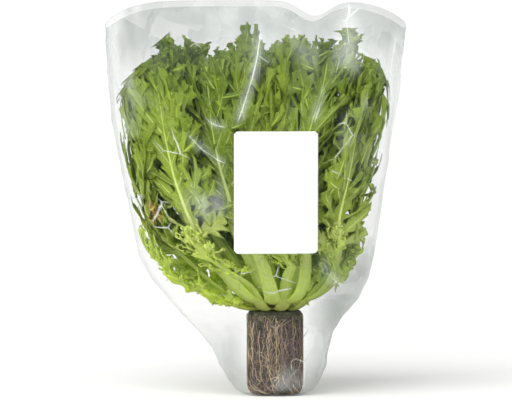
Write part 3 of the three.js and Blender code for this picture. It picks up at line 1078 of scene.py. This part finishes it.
def peat_finish():
    finish = Finish("wet_peat")
    grain = finish.noise(420, 5, rough=0.7)
    flecks = finish.noise(160, 3).step(0.56, 0.68)
    colour = finish.blend(grain.step(0.35, 0.7), "#1E1F17", "#45452F")
    colour = finish.blend(0.6 * flecks, colour, "#7A6A4C")
    normal = finish.bump(grain, 0.9, 0.0015)
    return finish.matt(colour, 0.62 + 0.3 * grain, normal)


peat = plug_block("peat_block", ROOT_TOP + GAP, PLUG_TOP, 120, 24, 0.22, 5)
settle(peat, peat_finish(), "peat", "peat_plug")
print("peat", len(peat.data.polygons), "faces")

# %% [markdown]
# ## Roots
# The root mat under the peat is lighter: grey-brown and purplish, with tan strands. It gets a rough block
# as its body, and hundreds of thin tubes as the roots themselves, which run down the sides, tangle in the
# middle and turn under at the foot. Tubes cost more than a bumpy picture would, but they catch the light
# and break the outline, as roots do.

# %% Roots
ROOT_SIDES = 4
ROOT_STEPS = 22
ROOT_TOP_REACH = 69
ROOT_COUNTS = {"run": 230, "tangle": 370, "under": 110}


def root_finish():
    finish = Finish("fine_roots")
    tone, thin, _ = finish.three("root")
    grain = finish.noise(600, 4)
    slow = finish.noise(60, 3)
    colour = finish.blend(slow.step(0.38, 0.62), "#3A2F28", "#46403C")
    colour = finish.blend(tone.step(0.02, 0.3), colour, "#655059")
    colour = finish.blend(tone.step(0.3, 0.6), colour, "#86735C")
    colour = finish.blend(tone.step(0.72, 0.98), colour, "#D2C09B")
    colour = finish.blend((1 - thin) * grain.step(0.35, 0.65), colour, "#2A231D")
    normal = finish.bump(grain, 0.6, 0.0008)
    return finish.matt(colour, 0.55 + 0.3 * grain, normal)


def tube(path, radii):
    """Points and faces of a thin closed tube along a path."""
    run = np.gradient(path, axis=0)
    run /= np.linalg.norm(run, axis=1)[:, None] + 1e-9
    away = path * (1, 1, 0)
    away /= np.linalg.norm(away, axis=1)[:, None] + 1e-9
    beside = np.cross(run, away)
    beside /= np.linalg.norm(beside, axis=1)[:, None] + 1e-9
    up = np.cross(beside, run)
    turns = np.arange(ROOT_SIDES) * 2 * math.pi / ROOT_SIDES
    rings = [path + radii[:, None] * (math.cos(turn) * up + math.sin(turn) * beside) for turn in turns]
    points = np.stack(rings, axis=1).reshape(-1, 3)
    faces = []
    for ring in range(len(path) - 1):
        for side in range(ROOT_SIDES):
            corner = ring * ROOT_SIDES + side
            next_corner = ring * ROOT_SIDES + (side + 1) % ROOT_SIDES
            faces.append((corner, corner + ROOT_SIDES, next_corner + ROOT_SIDES, next_corner))
    last = (len(path) - 1) * ROOT_SIDES
    faces.append(tuple(range(ROOT_SIDES)))
    faces.append(tuple(last + side for side in reversed(range(ROOT_SIDES))))
    return points, faces


def wander(rng, steps, size):
    """A smooth random walk that starts at nothing."""
    walk = np.cumsum(rng.normal(0, 1, steps))
    walk = np.convolve(np.pad(walk, 3, mode="edge"), np.ones(7) / 7, mode="valid")
    return size * (walk - walk[0])


def round_the_plug():
    """Distance along the plug's outline, and the angle that belongs to it."""
    angle = np.linspace(0, 2 * math.pi, 2001)
    outline = plug_point(angle, 30.0)
    return np.concatenate([[0], np.cumsum(np.linalg.norm(np.diff(outline, axis=0), axis=1))]), angle


GIRTH, GIRTH_ANGLE = round_the_plug()


def root_path(rng, kind):
    """One root: a long run down the side, a short squiggle in the tangle, or a curl under the foot."""
    steps = ROOT_STEPS
    whole = GIRTH[-1]
    start = rng.uniform(0, whole)
    if kind == "run":
        # Runs crowd towards the middle of each side of the block.
        side = whole / 4
        from_corner = (start + side / 2) % side
        start += 0.45 * (side / 2 - from_corner) * math.sin(2 * math.pi * from_corner / side) ** 2
        z = np.linspace(rng.uniform(54, 73), rng.uniform(1.6, 20), steps)
        start += rng.uniform(0.3, 1.1) * np.sin(2 * math.pi * z / rng.uniform(8, 16) + rng.uniform(0, 6))
        round_it = start + wander(rng, steps, 0.34)
        round_it += 9 * smooth(-z, -16, -1) * rng.choice([-1, 1], p=[0.3, 0.7])
    elif kind == "tangle":
        heading = rng.uniform(0, 2 * math.pi) + wander(rng, steps, 0.34)
        z = rng.uniform(4, 66) + np.cumsum(np.sin(heading)) * 0.7
        round_it = start + np.cumsum(np.cos(heading)) * 0.7
    else:
        z = mix(rng.uniform(8, 20), 1.7, np.linspace(0, 1, steps) ** 0.6)
        curl = rng.choice([-1, 1]) * 14 * np.linspace(0, 1, steps) ** 1.5
        round_it = start + curl + wander(rng, steps, 0.3)
    z = np.clip(z, FOOT + 0.4, ROOT_TOP_REACH)
    angle = np.interp(round_it % whole, GIRTH, GIRTH_ANGLE)
    return plug_point(angle, z, rng.uniform(0.2, 0.8))


def make_roots():
    core = plug_block("root_core", FOOT, ROOT_TOP, 160, 60, 0.16, 11)
    note(core, "root", np.zeros((len(core.data.vertices), 3)))
    rng = np.random.default_rng(23)
    points, faces, notes = [], [], []
    start = 0
    for kind, count in ROOT_COUNTS.items():
        for _ in range(count):
            path = root_path(rng, kind)
            thick = rng.uniform(0.2, 0.42)
            radii = thick * (1 - 0.5 * np.linspace(0, 1, len(path)))
            made, around = tube(path, radii)
            points.append(made)
            faces += [tuple(start + i for i in face) for face in around]
            tone = rng.uniform(0, 1)
            notes.append(np.tile((tone, 1.0, 0.0), (len(made), 1)))
            start += len(made)
    mesh = bpy.data.meshes.new("root_strands")
    mesh.from_pydata((np.vstack(points) * MM).tolist(), [], faces)
    strands = bpy.data.objects.new("root_strands", mesh)
    bpy.context.scene.collection.objects.link(strands)
    note(strands, "root", np.vstack(notes))
    pick(core, strands)
    bpy.ops.object.join()
    core.name = "root_mass"
    settle(core, root_finish(), "roots", "root_mat")
    print("roots", len(core.data.polygons), "faces")


make_roots()

# %% [markdown]
# ## The film
# The sleeve is one thin sheet, so it starts as an open tube whose rings are laid on the outline above. Film
# shows by its folds: where it creases, the two slopes throw the light to different sides. The folds that
# show most are drawn as lines with a width and a height, and a fine crumple fills in between them.

# %% The film's shape
AROUND = 192
LEVELS = 144
LABEL_WIDTH = 70.5
LABEL_HEIGHT = 103
LABEL_CENTRE = (0.5, 177.5)
FILM = 0.22
FOLD_BEND = 3.0
DRAWN_FOLDS = 9
BACK_FOLDS = 26
CRUMPLE_WAVES = 9

# The mouth's rim: its height, how far the front stands above the back, and the notch at the right.
MOUTH_HEIGHT = 334
MOUTH_FORWARD = 5.0
MOUTH_MIDDLE = -17
MOUTH_HALF_WIDTH = 131
CORNER_DROP = 22
NOTCH_PLACE = 33
NOTCH_DEPTH = 13
NOTCH_HALF_WIDTH = 17

# Folds on the front: start x and z, end x and z, height and half width, in millimetres.
FRONT_FOLDS = [
    (-35, 229, -11, 319, 2.0, 2.2),
    (-77, 229, -34, 199, 1.8, 2.0),
    (-62, 243, -35, 232, 1.4, 1.8),
    (-20, 300, 0, 285, 1.4, 2.0),
    (30, 229, 46, 300, 1.4, 2.2),
    (103, 315, 100, 238, 1.8, 1.8),
    (109, 318, 106, 250, 1.4, 1.5),
    (84, 300, 78, 236, 1.2, 2.0),
    (36, 126, 62, 92, 1.4, 2.2),
    (-35, 126, -58, 88, 1.4, 2.2),
    (30, 62, 46, 20, 1.2, 2.2),
    (34, 88, 38, 40, 1.3, 2.6),
    (-30, 80, -38, 30, 1.2, 2.2),
    (-40, 74, -28, 12, 1.2, 1.8),
    (-118, 300, -112, 250, 1.4, 1.8),
    (-100, 150, -62, 104, 1.2, 2.0),
    (88, 170, 58, 110, 1.3, 2.2),
    (-96, 320, -60, 296, 1.3, 2.2),
    (60, 322, 92, 300, 1.2, 2.2),
]


def mouth_height(x, back):
    """The rim's height. Back is 0 on the front of the sleeve and 1 behind."""
    corner = CORNER_DROP * np.abs((x - MOUTH_MIDDLE) / MOUTH_HALF_WIDTH) ** 6
    notch = NOTCH_DEPTH * np.exp(-(((x - NOTCH_PLACE) / NOTCH_HALF_WIDTH) ** 2))
    return MOUTH_HEIGHT - corner - notch + mix(MOUTH_FORWARD, 0, back)


def fold_relief(x, z, folds):
    """How far the film stands off its smooth form at each point."""
    off = np.zeros(len(x))
    for x0, z0, x1, z1, tall, half in folds:
        run = np.array([x1 - x0, z1 - z0], float)
        length = np.hypot(*run)
        run /= length
        along = (x - x0) * run[0] + (z - z0) * run[1]
        across = (x - x0) * run[1] - (z - z0) * run[0]
        bend = FOLD_BEND * np.sin(np.clip(along / length, 0, 1) * math.pi)
        inside = smooth(along, -8, 6) * smooth(length - along, -8, 6)
        off += tall * np.exp(-np.abs((across - bend) / (2.6 * half)) ** 1.6) * inside
    return off


def back_folds():
    """Folds for the back and sides, which no picture shows, from a seeded draw."""
    seeded = random.Random(8)
    made = []
    for _ in range(BACK_FOLDS):
        x = seeded.uniform(-115, 85)
        z = seeded.uniform(70, 315)
        turn = seeded.uniform(0.9, 2.2)
        length = seeded.uniform(25, 80)
        end = (x + length * math.cos(turn), z + length * math.sin(turn))
        made.append((x, z, *end, seeded.uniform(0.9, 1.9), 2.1))
    return made


def crumple(x, y, z):
    """A fine, sharp crumple: the size of a few crossed waves, with its ridges kept sharp."""
    total = np.zeros(len(x))
    seeded = random.Random(31)
    for i in range(CRUMPLE_WAVES):
        scale = seeded.uniform(0.035, 0.16)
        turn = seeded.uniform(0, math.pi)
        lean = seeded.uniform(-0.6, 0.6)
        phase = seeded.uniform(0, 6)
        across = x * math.cos(turn) + z * math.sin(turn) + lean * y
        wave = np.sin(scale * across * 2 + phase + 0.8 * np.sin(z / 31 + i))
        total += 1 - np.abs(wave)
    return total / CRUMPLE_WAVES - 0.36


def make_film():
    piece, column, row = grid_piece("clear_sleeve", AROUND, LEVELS)
    turn = column / AROUND * 2 * math.pi - math.pi
    rise = row / LEVELS
    cosine, sine = np.cos(turn), np.sin(turn)
    power = 2 / SLEEVE_POWER
    rounded = (np.sign(cosine) * np.abs(cosine) ** power, np.sign(sine) * np.abs(sine) ** power)
    wide, _, middle = sleeve_at(320.0)
    top = mouth_height(rounded[0] * wide + middle, smooth(rounded[1], -0.3, 0.3))
    z = 0.15 + rise**1.15 * (top - 0.15)
    wide, deep, middle = sleeve_at(z)
    x = rounded[0] * wide + middle
    y = rounded[1] * deep
    is_back = y > 0
    off = np.where(is_back, fold_relief(x, z, back_folds()), fold_relief(x, z, FRONT_FOLDS))
    off = off + 2.2 * crumple(x, y, z) * smooth(z, 6, 30)

    # Flat under the label and at the foot.
    under_label = smooth(np.abs(x - LABEL_CENTRE[0]), LABEL_WIDTH / 2 + 9, LABEL_WIDTH / 2 + 1)
    under_label *= smooth(np.abs(z - LABEL_CENTRE[1]), LABEL_HEIGHT / 2 + 9, LABEL_HEIGHT / 2 + 1)
    free = np.where(is_back, 1, 1 - under_label) * smooth(z, 0.5, 10)
    off = np.clip(off * free, -1.6, 2.6)
    away = np.column_stack([rounded[0] / np.maximum(wide, 1), rounded[1] / np.maximum(deep, 1)])
    away /= np.hypot(*away.T)[:, None] + 1e-9
    points = np.column_stack([x + off * away[:, 0], y + off * away[:, 1], z])
    lay(piece, points)
    note(piece, "film", np.column_stack([free, is_back, rise]))
    close_pouch(piece)
    thicken(piece, FILM)
    settle(piece, film_finish(), "film", "film_sleeve")
    print("film", len(piece.data.polygons), "faces")


def close_pouch(piece):
    """Welds the sheet's two side edges into a tube and fills its foot."""
    pick(piece)
    bpy.ops.object.mode_set(mode="EDIT")
    bpy.ops.mesh.select_all(action="SELECT")
    bpy.ops.mesh.remove_doubles(threshold=1e-5)
    bpy.ops.object.mode_set(mode="OBJECT")
    choose(piece, "VERT", [vertex.co.z < 0.2 * MM for vertex in piece.data.vertices])
    bpy.ops.mesh.edge_face_add()
    bpy.ops.mesh.select_all(action="SELECT")
    bpy.ops.mesh.normals_make_consistent(inside=False)
    bpy.ops.object.mode_set(mode="OBJECT")


# %% [markdown]
# ## What film looks like
# Clear film is nearly nothing seen straight on, and turns milky where the eye meets it at a slant or through
# several layers. So its alpha is small, and grows with the slant and in patches. Highlights and sheen are
# painted on it in white: the largest creases are drawn here from the same list as the folds of the mesh,
# each as a sharp painted highlight line in a band of painted sheen, with a web of finer painted highlights
# between.

# %% The film's material


def film_line(x, z, fold):
    """How close a point is to a fold's sharp line and to the band round it, where highlight and sheen are
    painted, as 1 on it and 0 off it.
    """
    x0, z0, x1, z1, _, half = fold
    length = math.hypot(x1 - x0, z1 - z0) * MM
    run = ((x1 - x0) * MM / length, (z1 - z0) * MM / length)
    along = (x - x0 * MM) * run[0] + (z - z0 * MM) * run[1]
    across = (x - x0 * MM) * run[1] - (z - z0 * MM) * run[0]
    bow = 4 * FOLD_BEND * MM / length**2 * along * (length - along)
    inside = along.step(-0.004, 0.02) * (length - along).step(-0.004, 0.02)
    off = (across - bow).size()
    line = (1 - off.step(0.05 * half * MM, 0.42 * half * MM)) * inside
    band = (1 - off.step(0.4 * half * MM, 4.2 * half * MM)) * inside
    return line, band


def film_finish():
    finish = Finish("clear_film")
    free, back, rise = finish.three("film")
    x, _, z = finish.split(finish.place())

    # The drawn creases, a little wavy, and only on the front, which mark where highlight lines and sheen are
    # painted.
    wobble = 0.0035 * (finish.noise(38, 2) - 0.5)
    folds, fold_sheen = film_line(x + wobble, z + wobble, FRONT_FOLDS[0])
    for fold in FRONT_FOLDS[1:DRAWN_FOLDS]:
        line, band = film_line(x + wobble, z + wobble, fold)
        folds = folds.top(line)
        fold_sheen = fold_sheen.top(band)
    folds = folds * (1 - back)
    fold_sheen = fold_sheen * (1 - back)

    # Painted highlights along fine webs of creases, patches of painted sheen, and flat facets whose painted
    # greyness differs, as if each caught the light in its own way.
    slow = finish.noise(17, 2)
    streaks = finish.noise(34, 4, finish.stretched((1, 1, 0.4)))
    broken = streaks.step(0.42, 0.6)
    webs = (1 - finish.cells(30).step(0.0, 0.025)) * slow.step(0.47, 0.62) * broken
    crease_glints = (0.8 * folds * streaks.step(0.3, 0.62)).top(0.55 * webs) * (0.1 + 0.9 * free)
    painted_sheen = (finish.noise(11, 3).step(0.5, 0.72).top(0.8 * fold_sheen)) * streaks.step(0.32, 0.58) * free
    facet = finish.patches(34, 0.02)
    slant = Value(finish, finish.node("ShaderNodeLayerWeight", None, {"Blend": 0.35}).outputs["Facing"])

    # The film is greyest at the mouth and where it slants away. Low at the right and up the right side, the
    # grey is painted shade.
    painted_shade_low_right = x.step(0.018, 0.06) * (1 - z.step(0.085, 0.15))
    low_left = (0 - x).step(0.02, 0.04) * (1 - z.step(0.03, 0.075))
    painted_shade_right = x.step(0.05, 0.1) * (1 - z.step(0.2, 0.3))
    tint = 0.02 + 0.16 * rise.step(0.8, 0.98) + 0.2 * painted_shade_low_right + 0.1 * low_left + 0.05 * painted_shade_right
    tint = tint + 0.22 * slant.step(0.5, 1.0)
    alpha = (tint * (0.35 + 0.7 * streaks + 0.6 * facet)).top(0.75 * crease_glints).top(0.17 * painted_sheen)

    # The painted highlights and sheen are white, and the rest is a dark grey green that only dims what is
    # behind it.
    white = crease_glints.step(0.08, 0.5).top(painted_sheen)
    colour = finish.blend(white, "#5B6B5F", "#E9EEEC")
    normal = finish.bump(streaks + 0.1 * webs + 0.5 * folds, 0.4, 0.002)
    shine = {"Base Color": colour, "Roughness": 0.1 + 0.1 * streaks, "Alpha": alpha, "Normal": normal}
    return finish.done(finish.surface(shine))


make_film()

# %% [markdown]
# ## The label
# The label is stuck to the front of the film, so it bends with it. It is a grid laid on the sleeve's front,
# with its corner rows drawn in to round them. Its face is left bare.

# %% The label
LABEL_CORNER = 2.5
LABEL_THICKNESS = 0.3
LABEL_OFF_FILM = 0.7
LABEL_GRID = (30, 44)


def label_finish():
    finish = Finish("label_paper")
    fibre = finish.noise(900, 3)
    slow = finish.noise(18, 2)
    colour = finish.blend(slow.step(0.35, 0.7), "#E6E6E5", "#DFE0E0")
    colour = finish.blend(0.25 * fibre, colour, "#D9DADA")
    normal = finish.bump(fibre, 0.12, 0.0003)
    return finish.matt(colour, 0.3 + 0.15 * fibre, normal)


def make_label():
    columns, rows = LABEL_GRID
    piece, column, row = grid_piece("blank_label", columns, rows)
    up = LABEL_HEIGHT * (row / rows - 0.5)
    from_end = LABEL_HEIGHT / 2 - np.abs(up)
    tuck = np.clip(LABEL_CORNER - from_end, 0, LABEL_CORNER)
    narrower = LABEL_CORNER - np.sqrt(np.maximum(LABEL_CORNER**2 - tuck**2, 0))
    x = LABEL_CENTRE[0] + (LABEL_WIDTH - 2 * narrower) * (column / columns - 0.5)
    z = LABEL_CENTRE[1] + up
    wide, deep, middle = sleeve_at(z)
    y = -deep * (1 - np.abs((x - middle) / wide) ** SLEEVE_POWER) ** (1 / SLEEVE_POWER) - LABEL_OFF_FILM
    lay(piece, np.column_stack([x, y, z]))
    thicken(piece, LABEL_THICKNESS)
    settle(piece, label_finish(), "label", "label")
    print("label", len(piece.data.polygons), "faces")


make_label()

# %% [markdown]
# ## Floor and light
# The floor is plain and pale, under a bright sky that is dimmer overhead, as in a studio with white walls.
# One wide, soft sun from the front left gives the leaves their shape, and a weak lamp at the right lights
# the film's edge.

# %% Floor and light
SKY_STRENGTH = 1.04

# The sky dims from the first height to the second, from the third brightness to the fourth.
SKY_STEPS = (0.05, 0.4, 1.0, 0.45)


def make_floor():
    deselect()
    bpy.ops.mesh.primitive_plane_add(size=40, location=(0, 0, 0))
    floor = bpy.context.object
    floor.name = "studio_floor"
    finish = Finish("studio_white")
    grain = finish.noise(3, 2)
    colour = finish.blend(grain, "#F4F4F3", "#F7F7F6")
    floor.data.materials.append(finish.matt(colour, 0.9, None))


def soft_light(name, place, aim, size, power):
    deselect()
    bpy.ops.object.light_add(type="AREA", location=place)
    light = bpy.context.object
    light.name = name
    light.data.shape = "RECTANGLE"
    light.data.size, light.data.size_y = size
    light.data.energy = power
    towards = np.array(aim) - np.array(place)
    light.rotation_euler = Vector(towards).to_track_quat("-Z", "Y").to_euler()


def soft_sun(source, strength, spread):
    deselect()
    bpy.ops.object.light_add(type="SUN", location=source)
    sun = bpy.context.object
    sun.name = "soft_sun"
    sun.data.energy = strength
    sun.data.angle = math.radians(spread)
    sun.rotation_euler = Vector(source).to_track_quat("Z", "Y").to_euler()


def make_light():
    world = bpy.data.worlds.new("studio")
    world.use_nodes = True
    nodes, links = world.node_tree.nodes, world.node_tree.links
    backdrop = nodes["Background"]
    backdrop.inputs["Strength"].default_value = SKY_STRENGTH
    direction = nodes.new("ShaderNodeTexCoord").outputs["Generated"]
    parts = nodes.new("ShaderNodeSeparateXYZ")
    links.new(direction, parts.inputs[0])
    dim = nodes.new("ShaderNodeMapRange")
    dim.interpolation_type = "SMOOTHSTEP"
    for socket, value in zip(dim.inputs[1:5], SKY_STEPS):
        socket.default_value = value
    links.new(parts.outputs["Z"], dim.inputs[0])
    links.new(dim.outputs[0], backdrop.inputs["Color"])
    bpy.context.scene.world = world
    bpy.context.scene.view_settings.view_transform = "Standard"
    soft_sun(source=(-0.36, -0.8, 0.72), strength=3.3, spread=60)
    soft_light("side", place=(1.2, -0.9, 0.5), aim=(0, 0, 0.2), size=(0.25, 0.9), power=5)


make_floor()
make_light()
